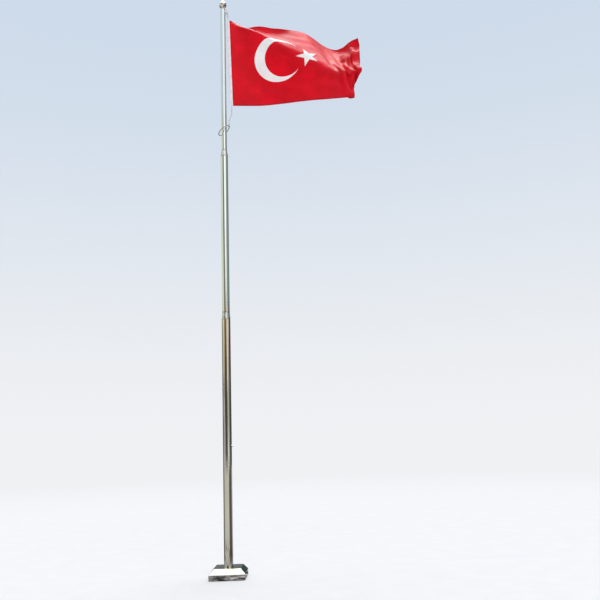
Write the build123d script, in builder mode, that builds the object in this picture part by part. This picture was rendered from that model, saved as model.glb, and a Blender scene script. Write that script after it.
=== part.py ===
"""Three-stage stainless-steel flagpole with an internal halyard and a hoisted flag.

Millimetres. +Z is up and the origin is the middle of the foot, on the ground.
+X points to the fly of the flag and -Y to the front.
"""

import os
from math import atan2, cos, radians, sin, sqrt

from build123d import *

os.makedirs("parts", exist_ok=True)

# ---------------------------------------------------------------- driving sizes
# Small corners
edge_break = 1.0
rim_round = 3.0

# Foot
flange_side = 360.0
flange_thickness = 15.0
flange_corner = 12.0
anchor_spacing = 280.0
anchor_hole = 22.0
gusset_thickness = 10.0
gusset_height = 92.0
gusset_toe = 12.0
gusset_setback = 8.0
cover_side = 450.0
cover_skirt = 68.0
cover_rise = 62.0
cover_run = 57.0
cover_sheet = 2.0
cover_bend = 4.0
cover_gap = 0.6

# Mast
lower_diameter = 114.3
middle_diameter = 101.6
upper_diameter = 76.1
tube_wall = 3.0
reducer_height = 115.0
reducer_land = 14.0
lower_joint = 3262.0
upper_joint = 5622.0
mast_top = 7905.0

# Dome screws through the wall
screw_shank = 8.0
screw_head = 18.0
screw_dome = 5.0
screw_tail = 5.0
screw_hole = 8.3
tube_screw_height = 2364.0
tube_screw_angle = -130.0
lower_screw_angle = -117.0
upper_screw_angle = -137.0

# Halyard
rope = 8.0
groove_gap = 0.3
stud_height = 1600.0
stud_shank = 10.0
stud_hole = 10.4
stud_boss = 30.0
stud_boss_reach = 4.0
stud_neck = 12.0
stud_neck_length = 6.0
stud_head = 22.0
stud_head_length = 8.0
block_size = 26.0
block_length = 56.0
block_socket = 24.0
block_corner = 3.0

# Truck and sheave
pitch_radius = 34.0
inner_line = 6.0
sheave_flange = 5.0
sheave_width = 14.0
sheave_hub = 22.0
pin_diameter = 12.0
pin_gap = 0.075
pin_head = 18.0
pin_head_length = 4.0
slot_width = 19.0
slot_gap = 3.0
cheek_width = 45.0
cheek_radius = 15.0
truck_floor = 5.0
truck_roof = 6.0
spigot_length = 60.0
spigot_gap = 0.25
rope_bore = 18.0

# Finial
neck_diameter = 34.0
neck_waist = 22.0
neck_height = 26.6
ball_diameter = 112.0
ball_sheet = 2.0

# Flag: a front panel up to a falling ridge, above which the wind lays the cloth back
cloth_height = 1400.0
cloth_thickness = 5.0
panel_rows = 8
# plain cross sections as shares of the way to the waves, which add their own
panel_sections = (0, 0.04, 0.09, 0.165, 0.26, 0.385, 0.525, 0.66, 0.8, 0.91)
ridge_fall = 0.64
ridge_turn = 120.0
belly_lean = 11.0
belly_reach = 650.0
foot_swing = 80.0
foot_rise = 14.0
lean_at_hoist = 72.0
lean_in_middle = 29.0
lean_at_fly = 38.0
middle_reach = 980.0
head_strip = 330.0
head_lean = -4.0
head_start = 1390.0
head_reach = 1750.0
wave_start = 1450.0
wave_length = 220.0
wave_depth = 40.0
waves = 2

# Heading: a strip that stands off the mast and rakes out to the foot
heading_drop = 87.0
heading_gap = 20.0
heading_width = 40.0
heading_rake = 37.0
heading_taper = 55.0
heading_thickness = 10.0
heading_tab = 12.0

# Fittings on the flag's line
eye_radius = 12.0
becket_length = 12.0
link_wire = 4.5
link_inside = 12.0
link_length = 36.0
barrel_diameter = 14.0
barrel_length = 15.0
link_gap = 0.3
drop_gap = 0.3
ring_radius = 95.0
ring_body = 12.0
ring_tilt = 38.0
ring_drop = 383.0

# ---------------------------------------------------------------- derived places
cover_height = cover_skirt + cover_rise
middle_start = lower_joint + reducer_height
upper_start = upper_joint + reducer_height
sheave_x = inner_line + pitch_radius
line_x = inner_line + 2 * pitch_radius
sheave_outer = pitch_radius + sheave_flange
sheave_z = mast_top + truck_floor + slot_gap + sheave_outer
truck_top = sheave_z + sheave_outer + slot_gap + truck_roof
ball_flat = truck_top + neck_height
ball_centre = ball_flat + sqrt((ball_diameter / 2) ** 2 - (neck_diameter / 2) ** 2)
heading_top = mast_top - heading_drop
heading_foot = heading_top - cloth_height
heading_inner_top = upper_diameter / 2 + heading_gap
heading_inner_foot = heading_inner_top + heading_rake
seam_top = heading_inner_top + heading_width
seam_foot = heading_inner_foot + heading_width
seam_tilt = atan2(heading_rake, cloth_height)
foot_x = (heading_inner_foot + seam_foot) / 2
ring_height = heading_foot - ring_drop
ring_high_x = ring_radius * cos(radians(ring_tilt))
ring_high_z = ring_height + ring_radius * sin(radians(ring_tilt))


def save(part, name):
    """Label a finished piece and write it to its own file."""
    part.label = name
    export_step(part, f"parts/{name}.step")


# ---------------------------------------------------------------- foot
with BuildPart() as base_flange:
    with BuildSketch():
        RectangleRounded(flange_side, flange_side, flange_corner)
        with GridLocations(anchor_spacing, anchor_spacing, 2, 2):
            Circle(anchor_hole / 2, mode=Mode.SUBTRACT)
    extrude(amount=flange_thickness)
    chamfer(base_flange.faces().sort_by(Axis.Z)[-1].edges(), edge_break)
save(base_flange.part, "base_flange")

gusset_reach = flange_side / 2 - gusset_setback
for side, angle in (("right", 0), ("back", 90), ("left", 180), ("front", 270)):
    face = Plane.XZ.rotated((0, 0, angle)) if angle else Plane.XZ
    with BuildPart() as gusset:
        with BuildSketch(face):
            with BuildLine():
                Polyline(
                    (0, flange_thickness),
                    (gusset_reach, flange_thickness),
                    (gusset_reach, flange_thickness + gusset_toe),
                    (lower_diameter / 2 + gusset_toe, flange_thickness + gusset_height),
                    (0, flange_thickness + gusset_height),
                    close=True,
                )
            make_face()
        extrude(amount=gusset_thickness / 2, both=True)
        with BuildSketch(Plane.XY):
            Circle(lower_diameter / 2)
        extrude(amount=cover_height, mode=Mode.SUBTRACT)
    save(gusset.part, f"gusset_{side}")

with BuildPart() as base_cover:
    with BuildSketch():
        Rectangle(cover_side, cover_side)
    extrude(amount=cover_skirt)
    with BuildSketch(Plane.XY.offset(cover_skirt)):
        Rectangle(cover_side, cover_side)
    with BuildSketch(Plane.XY.offset(cover_height)):
        Rectangle(cover_side - 2 * cover_run, cover_side - 2 * cover_run)
    loft()
    bends = base_cover.edges().filter_by(lambda edge: edge.center().Z > cover_bend)
    fillet(bends, cover_bend)
    offset(amount=-cover_sheet, openings=base_cover.faces().sort_by(Axis.Z)[0])
    with BuildSketch(Plane.XY.offset(cover_skirt)):
        Circle(lower_diameter / 2 + cover_gap)
    extrude(amount=2 * cover_rise, mode=Mode.SUBTRACT)
save(base_cover.part, "base_cover")


# ---------------------------------------------------------------- mast
def outward(height, angle):
    """Plane through the mast's axis whose normal points out at the angle."""
    return Plane(
        origin=(0, 0, height),
        x_dir=(-sin(radians(angle)), cos(radians(angle)), 0),
        z_dir=(cos(radians(angle)), sin(radians(angle)), 0),
    )


def wall_hole(height, angle, diameter):
    """Cut a round hole through one wall of the tube being built."""
    with Locations(outward(height, angle)):
        Cylinder(
            diameter / 2,
            lower_diameter,
            align=(Align.CENTER, Align.CENTER, Align.MIN),
            mode=Mode.SUBTRACT,
        )


def stage(name, bottom, top, diameter, holes=()):
    """Straight length of tube with its wall holes."""
    with BuildPart() as tube:
        with BuildSketch(Plane.XY.offset(bottom)):
            Circle(diameter / 2)
            Circle(diameter / 2 - tube_wall, mode=Mode.SUBTRACT)
        extrude(amount=top - bottom)
        for height, angle, size in holes:
            wall_hole(height, angle, size)
    save(tube.part, name)


def swaged(bottom, big, small):
    """Round bar with a land at each end and a smooth waist down between them."""
    top = bottom + reducer_height
    with BuildPart() as bar:
        with BuildSketch(Plane.XZ):
            with BuildLine():
                Polyline(
                    (small / 2, top - reducer_land),
                    (small / 2, top),
                    (0, top),
                    (0, bottom),
                    (big / 2, bottom),
                    (big / 2, bottom + reducer_land),
                )
                Spline(
                    (big / 2, bottom + reducer_land),
                    (small / 2, top - reducer_land),
                    tangents=((0, 1), (0, 1)),
                )
            make_face()
        revolve(axis=Axis.Z)
    return bar.part


def reducer(name, bottom, big, small, screw_angle):
    """Swaged sleeve that joins two stages, with the hole for its dome screw."""
    with BuildPart() as sleeve:
        add(swaged(bottom, big, small))
        bore = swaged(bottom, big - 2 * tube_wall, small - 2 * tube_wall)
        add(bore, mode=Mode.SUBTRACT)
        wall_hole(bottom + reducer_height / 2, screw_angle, screw_hole)
    save(sleeve.part, name)


def dome_screw(name, height, angle, big, small):
    """Dome-headed screw seated on a wall that narrows from big to small."""
    seat = (big + small) / 4
    side = outward(height, angle)
    with BuildPart() as screw:
        with BuildSketch(Plane(origin=side.origin, x_dir=side.z_dir, z_dir=-side.x_dir)):
            with BuildLine():
                Polyline(
                    (seat + screw_dome, 0),
                    (seat - screw_dome, 0),
                    (seat - screw_dome, screw_head / 2),
                    (seat, screw_head / 2),
                )
                TangentArc((seat + screw_dome, 0), (seat, screw_head / 2), tangent=(0, 1))
            make_face()
        revolve(axis=Axis(side.origin, side.z_dir))
        add(swaged(height - reducer_height / 2, big, small), mode=Mode.SUBTRACT)
        with BuildSketch(side.offset(seat - tube_wall - screw_tail)):
            Circle(screw_shank / 2)
        extrude(amount=tube_wall + screw_tail + screw_dome / 2)
    save(screw.part, name)


stage(
    "lower_tube",
    flange_thickness,
    lower_joint,
    lower_diameter,
    holes=(
        (tube_screw_height, tube_screw_angle, screw_hole),
        (stud_height, 0, stud_hole),
    ),
)
stage("middle_tube", middle_start, upper_joint, middle_diameter)
stage("upper_tube", upper_start, mast_top, upper_diameter)
reducer("lower_reducer", lower_joint, lower_diameter, middle_diameter, lower_screw_angle)
reducer("upper_reducer", upper_joint, middle_diameter, upper_diameter, upper_screw_angle)
dome_screw(
    "tube_screw", tube_screw_height, tube_screw_angle, lower_diameter, lower_diameter
)
dome_screw(
    "lower_joint_screw",
    lower_joint + reducer_height / 2,
    lower_screw_angle,
    lower_diameter,
    middle_diameter,
)
dome_screw(
    "upper_joint_screw",
    upper_joint + reducer_height / 2,
    upper_screw_angle,
    middle_diameter,
    upper_diameter,
)


# ---------------------------------------------------------------- halyard and its stud
stud_side = outward(stud_height, 0)
stud_axis = Axis(stud_side.origin, stud_side.z_dir)
wall_face = lower_diameter / 2
boss_face = wall_face + stud_boss_reach
head_start = boss_face + stud_neck_length
stud_tip = head_start + stud_head_length
block_floor = stud_height + stud_shank

with BuildPart() as halyard_stud:
    with BuildSketch(Plane.XZ.shift_origin((0, 0, stud_height))):
        with BuildLine():
            Polyline(
                (wall_face - stud_boss_reach, 0),
                (wall_face - stud_boss_reach, stud_boss / 2),
                (boss_face, stud_boss / 2),
                (boss_face, stud_neck / 2),
                (head_start, stud_neck / 2),
                (head_start, stud_head / 2),
                (stud_tip, stud_head / 2),
                (stud_tip, 0),
                close=True,
            )
        make_face()
    revolve(axis=stud_axis)
    fillet(halyard_stud.edges().group_by(Axis.X)[-1], stud_head_length / 3)
    with Locations((0, 0, stud_height)):
        Cylinder(wall_face, 2 * stud_boss, mode=Mode.SUBTRACT)
    with BuildSketch(stud_side.offset(inner_line - block_size / 2)):
        Circle(stud_shank / 2)
    extrude(amount=boss_face - inner_line + block_size / 2)
save(halyard_stud.part, "halyard_stud")

with BuildPart() as halyard_block:
    with BuildSketch(Plane.XY.offset(stud_height - stud_shank)):
        with Locations((inner_line, 0)):
            Rectangle(block_size, block_size)
    extrude(amount=block_length)
    with BuildSketch(Plane.XY.offset(stud_height - stud_shank + block_length)):
        with Locations((inner_line, 0)):
            Circle(rope / 2 + groove_gap)
    extrude(amount=-block_socket, mode=Mode.SUBTRACT)
    with BuildSketch(stud_side):
        Circle(stud_shank / 2 + groove_gap / 2)
    extrude(amount=block_size, both=True, mode=Mode.SUBTRACT)
    corners = halyard_block.edges().filter_by(Axis.Z).group_by(SortBy.LENGTH)[-1]
    fillet(corners, block_corner)
save(halyard_block.part, "halyard_block")

halyard_foot = stud_height - stud_shank + block_length - block_socket
with BuildPart() as halyard:
    with BuildLine():
        Line((inner_line, 0, halyard_foot), (inner_line, 0, sheave_z))
        ThreePointArc(
            (inner_line, 0, sheave_z),
            (sheave_x, 0, sheave_z + pitch_radius),
            (line_x, 0, sheave_z),
        )
    with BuildSketch(Plane.XY.offset(halyard_foot)):
        with Locations((inner_line, 0)):
            Circle(rope / 2)
    sweep()
save(halyard.part, "halyard")


# ---------------------------------------------------------------- truck and sheave
with BuildPart() as truck:
    with BuildSketch(Plane.XY.offset(mast_top)):
        Circle(upper_diameter / 2)
    extrude(amount=truck_top - mast_top)
    with BuildSketch(Plane.XY.offset(mast_top)):
        Circle(upper_diameter / 2 - tube_wall - spigot_gap)
    extrude(amount=-spigot_length)
    with BuildSketch(Plane.XZ):
        with Locations((sheave_x, sheave_z)):
            Circle(cheek_radius)
        with Locations((sheave_x / 2, sheave_z)):
            Rectangle(sheave_x, 2 * cheek_radius)
    extrude(amount=cheek_width / 2, both=True)
    with BuildSketch(Plane.XZ):
        with Locations((sheave_x, sheave_z)):
            Rectangle(2 * (sheave_outer + slot_gap), 2 * (sheave_outer + slot_gap))
    extrude(amount=slot_width / 2, both=True, mode=Mode.SUBTRACT)
    with BuildSketch(Plane.XY.offset(mast_top - spigot_length)):
        with Locations((inner_line, 0)):
            Circle(rope_bore / 2)
    extrude(amount=spigot_length + truck_floor, mode=Mode.SUBTRACT)
    with BuildSketch(Plane.XZ):
        with Locations((sheave_x, sheave_z)):
            Circle(pin_diameter / 2 + pin_gap)
    extrude(amount=upper_diameter, both=True, mode=Mode.SUBTRACT)
    rounds = truck.edges().filter_by(GeomType.CIRCLE)
    fillet(rounds.filter_by(lambda e: abs(e.center().Z - truck_top) < edge_break), rim_round)
    chamfer(rounds.filter_by(lambda e: e.center().Z < mast_top - edge_break), edge_break)
save(truck.part, "truck")

sheave_side = Plane(origin=(sheave_x, 0, sheave_z), x_dir=(0, 0, 1), z_dir=(1, 0, 0))
pin_axis = Axis((sheave_x, 0, sheave_z), (0, 1, 0))
with BuildPart() as sheave:
    with BuildSketch(sheave_side):
        with BuildLine():
            bore = pin_diameter / 2 + pin_gap
            hub = slot_width / 2 - pin_gap * 4
            groove = rope / 2 + groove_gap
            Polyline(
                (pitch_radius, groove),
                (sheave_outer, groove + groove_gap),
                (sheave_outer, sheave_width / 2),
                (sheave_hub / 2, sheave_width / 2),
                (sheave_hub / 2, hub),
                (bore, hub),
                (bore, -hub),
                (sheave_hub / 2, -hub),
                (sheave_hub / 2, -sheave_width / 2),
                (sheave_outer, -sheave_width / 2),
                (sheave_outer, -groove - groove_gap),
                (pitch_radius, -groove),
            )
            ThreePointArc(
                (pitch_radius, -groove), (pitch_radius - groove, 0), (pitch_radius, groove)
            )
        make_face()
    revolve(axis=pin_axis)
save(sheave.part, "sheave")

with BuildPart() as sheave_pin:
    with BuildSketch(Plane.XZ.offset(-cheek_width / 2 - pin_head_length)):
        with Locations((sheave_x, sheave_z)):
            Circle(pin_diameter / 2)
    extrude(amount=cheek_width + pin_head_length)
    with BuildSketch(Plane.XZ.offset(cheek_width / 2)):
        with Locations((sheave_x, sheave_z)):
            Circle(pin_head / 2)
    extrude(amount=pin_head_length)
    ends = sheave_pin.edges().filter_by(GeomType.CIRCLE).sort_by(Axis.Y)
    chamfer([ends[0], ends[-1]], edge_break)
save(sheave_pin.part, "sheave_pin")

# ---------------------------------------------------------------- finial
with BuildPart() as finial_neck:
    with BuildSketch(Plane.XZ):
        with BuildLine():
            Line((0, truck_top), (neck_diameter / 2, truck_top))
            ThreePointArc(
                (neck_diameter / 2, truck_top),
                (neck_waist / 2, (truck_top + ball_flat) / 2),
                (neck_diameter / 2, ball_flat),
            )
            Polyline((neck_diameter / 2, ball_flat), (0, ball_flat), (0, truck_top))
        make_face()
    revolve(axis=Axis.Z)
save(finial_neck.part, "finial_neck")

with BuildPart() as finial_ball:
    with Locations((0, 0, ball_centre)):
        Sphere(ball_diameter / 2)
        Sphere(ball_diameter / 2 - ball_sheet, mode=Mode.SUBTRACT)
    with BuildSketch(Plane.XY.offset(ball_flat)):
        Circle(neck_diameter / 2)
    extrude(amount=2 * ball_sheet)
    split(bisect_by=Plane.XY.offset(ball_flat))
save(finial_ball.part, "finial_ball")


# ---------------------------------------------------------------- flag and its line
taper_rake = heading_rake * heading_taper / cloth_height
with BuildPart() as flag_heading:
    with BuildSketch(Plane.XZ):
        with BuildLine():
            Polyline(
                (line_x - heading_tab / 2, heading_top),
                (line_x + heading_tab / 2, heading_top),
                (seam_top + taper_rake, heading_top - heading_taper),
                (seam_foot - taper_rake, heading_foot + heading_taper),
                (foot_x + heading_tab / 2, heading_foot),
                (foot_x - heading_tab / 2, heading_foot),
                (heading_inner_foot - taper_rake, heading_foot + heading_taper),
                (heading_inner_top + taper_rake, heading_top - heading_taper),
                close=True,
            )
        make_face()
    extrude(amount=heading_thickness / 2, both=True)
save(flag_heading.part, "flag_heading")


def ease(low, high, value):
    """0 up to low, 1 from high on, and a smooth step between."""
    share = min(max((value - low) / (high - low), 0), 1)
    return share * share * (3 - 2 * share)


def ridge_height(out):
    """How far up the cloth the ridge lies."""
    return cloth_height - ridge_fall * out


def cloth_lean(out, up):
    """Lean of the cloth from upright, at a distance out from the seam and up the cloth."""
    ridge = ridge_height(out)
    front = -belly_lean * ease(0, belly_reach, out) * ease(0, belly_reach, up)
    back = lean_at_hoist * ease(0, ridge_turn, out)
    back += (lean_in_middle - lean_at_hoist) * ease(ridge_turn, middle_reach, out)
    back += (lean_at_fly - lean_in_middle) * ease(middle_reach, wave_start, out)
    lean = front + (back - front) * ease(ridge - ridge_turn / 2, ridge + ridge_turn / 2, up)
    strip = cloth_height - head_strip
    stands = ease(head_start, head_reach, out) * ease(strip - ridge_turn, strip + ridge_turn, up)
    return lean + (head_lean - lean) * stands


def cloth_section(out):
    """Points up one cross section, as many below the ridge as above: depth, height, lean."""
    ridge = min(ridge_height(out), cloth_height - ridge_turn / 2)
    rows = [ridge * k / panel_rows for k in range(panel_rows)]
    rows += [ridge + (cloth_height - ridge) * k / panel_rows for k in range(panel_rows + 1)]
    depth = -foot_swing * ease(belly_reach / 2, wave_start, out)
    height = foot_rise * ease(wave_start, cloth_end, out)
    wave = wave_depth * sin(radians(360 * (out - wave_start) / wave_length))
    wave *= ease(wave_start, wave_start + wave_length / 2, out)
    fine_steps = 10
    points = []
    below = 0
    for up in rows:
        for k in range(fine_steps):
            lean = radians(cloth_lean(out, below + (up - below) * (k + 0.5) / fine_steps))
            depth += (up - below) / fine_steps * sin(lean)
            height += (up - below) / fine_steps * cos(lean)
        below = up
        free = ease(0, cloth_height / 4, up) * ease(0, cloth_height / 4, cloth_height - up)
        points.append((depth + wave * free, height, radians(cloth_lean(out, up))))
    return points


cloth_end = wave_start + waves * wave_length
panel_stations = [share * wave_start for share in panel_sections]
wave_stations = [wave_start + k * wave_length / 4 for k in range(4 * waves + 1)]
with BuildPart() as flag_cloth:
    for out in (*panel_stations, *wave_stations):
        section = cloth_section(out)
        half = cloth_thickness / 2
        front = [(y - half * cos(lean), z + half * sin(lean)) for y, z, lean in section]
        back = [(y + half * cos(lean), z - half * sin(lean)) for y, z, lean in section]
        tilt = seam_tilt * (1 - ease(0, belly_reach, out))
        side = Plane(
            origin=(seam_foot + out, 0, heading_foot),
            x_dir=(0, 1, 0),
            z_dir=(cos(tilt), 0, sin(tilt)),
        )
        with BuildSketch(side):
            with BuildLine():
                Spline(front)
                Spline(back)
                Line(front[0], back[0])
                Line(front[-1], back[-1])
            make_face()
    loft()
save(flag_cloth.part, "flag_cloth")


def becket(name, x, z, direction):
    """Rope tab with a spliced eye; direction is +1 up or -1 down."""
    with BuildPart() as tab:
        with BuildSketch(Plane.XY.offset(z)):
            with Locations((x, 0)):
                Circle(rope / 2)
        extrude(amount=direction * becket_length)
        eye = Plane(
            origin=(x, 0, z + direction * (becket_length + eye_radius)), z_dir=(1, 0, 0)
        )
        with Locations(eye):
            Torus(eye_radius, rope / 2)
    save(tab.part, name)


def link(name, x, hook_z, direction, inside):
    """Oval link with a barrel; hook_z is the middle of its hooked end's wire."""
    half = (inside + link_wire) / 2
    near = hook_z + direction * half
    far = hook_z + direction * (link_length - half)
    with BuildPart() as clip:
        with BuildLine():
            Line((x - half, 0, near), (x - half, 0, far))
            ThreePointArc(
                (x - half, 0, far), (x, 0, far + direction * half), (x + half, 0, far)
            )
            Line((x + half, 0, far), (x + half, 0, near))
            ThreePointArc(
                (x + half, 0, near), (x, 0, near - direction * half), (x - half, 0, near)
            )
        with BuildSketch(Plane.XY.offset(near)):
            with Locations((x - half, 0)):
                Circle(link_wire / 2)
        sweep()
        with BuildSketch(Plane.XY.offset(hook_z + direction * link_length)):
            with Locations((x, 0)):
                Circle(barrel_diameter / 2)
        extrude(amount=direction * barrel_length)
        chamfer(clip.faces().sort_by(Axis((0, 0, 0), (0, 0, direction)))[-1].edges(), edge_break)
    save(clip.part, name)
    return hook_z + direction * (link_length + barrel_length)


hook_drop = (rope + link_wire) / 2 + link_gap
becket("top_becket", line_x, heading_top, 1)
becket("foot_becket", foot_x, heading_foot, -1)
eye_reach = becket_length + 2 * eye_radius
drop_foot = link("top_snap", line_x, heading_top + eye_reach - hook_drop, 1, link_inside)
tail_top = link("foot_snap", foot_x, heading_foot - eye_reach + hook_drop, -1, link_inside)
ring_hook = ring_high_z - (ring_body + link_wire) / 2 - link_gap
tail_foot = link("ring_snap", ring_high_x, ring_hook, 1, ring_body + link_wire / 2)

with BuildPart() as halyard_drop:
    with BuildSketch(Plane.XY.offset(drop_foot)):
        with Locations((line_x, 0)):
            Circle(rope / 2)
    extrude(amount=sheave_z - drop_gap - drop_foot)
save(halyard_drop.part, "halyard_drop")

tail_turn = (tail_top - tail_foot) / 5
with BuildPart() as tail_rope:
    with BuildLine() as tail_path:
        FilletPolyline(
            (foot_x, 0, tail_top),
            (foot_x, 0, tail_top - tail_turn),
            (ring_high_x, 0, tail_foot + tail_turn),
            (ring_high_x, 0, tail_foot),
            radius=3 * tail_turn,
        )
    with BuildSketch(Plane.XY.offset(tail_top)):
        with Locations((foot_x, 0)):
            Circle(rope / 2)
    sweep()
save(tail_rope.part, "tail_rope")

ring_plane = Plane(
    origin=(0, 0, ring_height),
    z_dir=(-sin(radians(ring_tilt)), 0, cos(radians(ring_tilt))),
)
with BuildPart() as retainer_ring:
    with Locations(ring_plane):
        Torus(ring_radius, ring_body / 2)
save(retainer_ring.part, "retainer_ring")
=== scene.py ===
"""Dresses the flagpole: polished steel, ropes, canvas heading and the hoisted cloth.

Metres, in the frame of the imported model: +Z up, +X to the fly of the flag, -Y to the front.
"""

from math import cos, pi, radians, sin, tau

import bpy
import numpy as np
from mathutils import Matrix, Vector


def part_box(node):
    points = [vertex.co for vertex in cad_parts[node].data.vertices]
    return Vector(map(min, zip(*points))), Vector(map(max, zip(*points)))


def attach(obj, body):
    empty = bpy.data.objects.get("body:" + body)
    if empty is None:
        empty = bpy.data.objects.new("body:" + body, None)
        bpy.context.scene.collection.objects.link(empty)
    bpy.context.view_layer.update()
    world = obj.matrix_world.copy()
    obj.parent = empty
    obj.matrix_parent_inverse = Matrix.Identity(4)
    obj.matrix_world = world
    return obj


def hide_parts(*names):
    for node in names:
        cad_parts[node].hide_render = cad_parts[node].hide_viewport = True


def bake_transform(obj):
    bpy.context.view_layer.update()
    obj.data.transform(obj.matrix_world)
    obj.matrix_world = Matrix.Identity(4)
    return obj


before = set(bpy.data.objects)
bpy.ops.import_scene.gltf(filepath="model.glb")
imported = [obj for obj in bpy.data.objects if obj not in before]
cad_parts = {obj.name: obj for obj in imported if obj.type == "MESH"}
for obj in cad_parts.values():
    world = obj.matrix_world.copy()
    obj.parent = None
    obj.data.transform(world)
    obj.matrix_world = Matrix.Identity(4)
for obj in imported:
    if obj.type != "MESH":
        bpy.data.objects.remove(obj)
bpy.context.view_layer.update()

# ---------------------------------------------------------------- sizes
# ropes: a strand goes once round in the length of a lay
ROPE = 0.008
LAY = 0.027
STRAND = 0.27 * ROPE
ROPE_STEP = 0.0022
TAB_SWELL = 1.15

# cloth: its flat size, its thickness, and the hems with their stitch rows, from the edge
CLOTH_WIDTH = 2.10
CLOTH_HEIGHT = 1.40
CLOTH_SHEET = 0.0008
CLOTH_WEAVE = 0.0009
HEM = 0.023
HEM_SHEET = 0.0022
HEM_ROWS = (0.005, 0.019)
CLOTH_STITCH = 0.0022

# heading: it leans by its rake over its height, and tapers to the tabs at both ends
HEADING_RAKE = 0.037
HEADING_TAPER = 0.055
HEADING_TAB = 0.012
HEADING_WEAVE = 0.0011
HEADING_STITCH = 0.0025
SLEEVE_CORE = 0.0065
SLEEVE_FLAT = 0.0016

# display colours 0..255; the backdrop turns from low to high over its rise in degrees
RED_BRIGHT = (226, 2, 34)
RED_DEEP = (197, 3, 27)
RED_HEM = (190, 6, 28)
RED_THREAD = (150, 6, 26)
BACKDROP_LOW = (240, 241, 243)
BACKDROP_HIGH = (206, 219, 234)
BACKDROP_RISE = (-2, 36)

# ---------------------------------------------------------------- places, from the frame
sheave_low, sheave_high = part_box("sheave")
sheave = (sheave_low + sheave_high) / 2
halyard_low, halyard_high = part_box("halyard")
drop_low, drop_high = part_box("halyard_drop")
tail_low, tail_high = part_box("tail_rope")
heading_low, heading_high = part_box("flag_heading")
foot_tab_low, foot_tab_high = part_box("foot_becket")
inner_line = halyard_low.x + ROPE / 2
outer_line = halyard_high.x - ROPE / 2
pitch_radius = (outer_line - inner_line) / 2
foot_line = (foot_tab_low.x + foot_tab_high.x) / 2


# ---------------------------------------------------------------- node helpers
def linear(red, green, blue):
    """0..255 display colour as the linear colour that the shader wants."""
    values = (red / 255, green / 255, blue / 255)
    return tuple(v / 12.92 if v <= 0.04045 else ((v + 0.055) / 1.055) ** 2.4 for v in values)


class Nodes:
    """Short names for the shader nodes that the finishes are built from."""

    def __init__(self, tree):
        self.tree = tree
        tree.nodes.clear()

    def add(self, kind, **sockets):
        """New node, its sockets set by name with _ for a space."""
        node = self.tree.nodes.new(kind)
        for name, value in sockets.items():
            self.put(node.inputs[name.replace("_", " ")], value)
        return node

    def put(self, socket, value):
        """Links a socket to another, or sets it to a number, vector or colour."""
        if isinstance(value, bpy.types.NodeSocket):
            self.tree.links.new(value, socket)
        elif hasattr(value, "__len__") and len(value) == 3 and socket.type == "RGBA":
            socket.default_value = (*value, 1.0)
        else:
            socket.default_value = value

    def operate(self, kind, operation, values):
        """New math node with its operation, fed in order."""
        node = self.tree.nodes.new(kind)
        node.operation = operation
        for socket, value in zip(node.inputs, values):
            self.put(socket, value)
        return node

    def math(self, operation, *values):
        return self.operate("ShaderNodeMath", operation, values).outputs[0]

    def plus(self, first, second):
        return self.math("ADD", first, second)

    def minus(self, first, second):
        return self.math("SUBTRACT", first, second)

    def times(self, first, second):
        return self.math("MULTIPLY", first, second)

    def off(self, value, middle):
        """How far a value is from a middle, either way."""
        return self.math("ABSOLUTE", self.minus(value, middle))

    def stretch(self, place, scales):
        return self.operate("ShaderNodeVectorMath", "MULTIPLY", (place, scales)).outputs[0]

    def length(self, vector):
        return self.operate("ShaderNodeVectorMath", "LENGTH", (vector,)).outputs["Value"]

    def split(self, vector):
        node = self.add("ShaderNodeSeparateXYZ", Vector=vector)
        return node.outputs[0], node.outputs[1], node.outputs[2]

    def between(self, value, low, high, to_low=0.0, to_high=1.0):
        """value mapped smoothly from low..high to to_low..to_high, held at both ends."""
        node = self.tree.nodes.new("ShaderNodeMapRange")
        node.interpolation_type = "SMOOTHSTEP"
        for socket, given in zip(node.inputs, (value, low, high, to_low, to_high)):
            self.put(socket, given)
        return node.outputs[0]

    def mix(self, share, first, second):
        node = self.tree.nodes.new("ShaderNodeMix")
        node.data_type = "RGBA"
        self.put(node.inputs["Factor"], share)
        self.put(node.inputs[6], first)
        self.put(node.inputs[7], second)
        return node.outputs[2]

    def noise(self, place, scale, detail=2.0, roughness=0.5):
        node = self.add("ShaderNodeTexNoise", Scale=scale, Detail=detail, Roughness=roughness)
        self.put(node.inputs["Vector"], place)
        return node.outputs["Fac"]

    def place(self):
        return self.add("ShaderNodeTexCoord").outputs["Object"]

    def pointiness(self):
        return self.add("ShaderNodeNewGeometry").outputs["Pointiness"]

    def bump(self, height, distance):
        return self.add("ShaderNodeBump", Height=height, Distance=distance, Strength=1.0).outputs[0]

    def ramp(self, value, stops):
        """Colour ramp through (position, linear colour) stops."""
        node = self.add("ShaderNodeValToRGB", Fac=value)
        elements = node.color_ramp.elements
        while len(elements) < len(stops):
            elements.new(0.5)
        for element, (position, colour) in zip(elements, stops):
            element.position = position
            element.color = (*colour, 1.0)
        return node.outputs[0]

    def bearing(self, x, y):
        """Degrees from the front, to +X positive."""
        return self.math("DEGREES", self.math("ARCTAN2", x, self.times(y, -1.0)))

    def walls(self, bearing, stops):
        """Colour by bearing, through (degrees, display colour) stops."""
        turn = self.plus(self.math("DIVIDE", bearing, 360.0), 0.5)
        return self.ramp(turn, [(at / 360 + 0.5, linear(*colour)) for at, colour in stops])

    def mix_shader(self, share, first, second):
        """Node that shows the first shader at share 0 and the second at 1."""
        node = self.add("ShaderNodeMixShader", Fac=share)
        self.tree.links.new(first.outputs[0], node.inputs[1])
        self.tree.links.new(second.outputs[0], node.inputs[2])
        return node

    def show(self, shader, kind="ShaderNodeOutputMaterial"):
        """Links a shader node to a new output."""
        output = self.tree.nodes.new(kind)
        self.tree.links.new(shader.outputs[0], output.inputs["Surface"])


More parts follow.
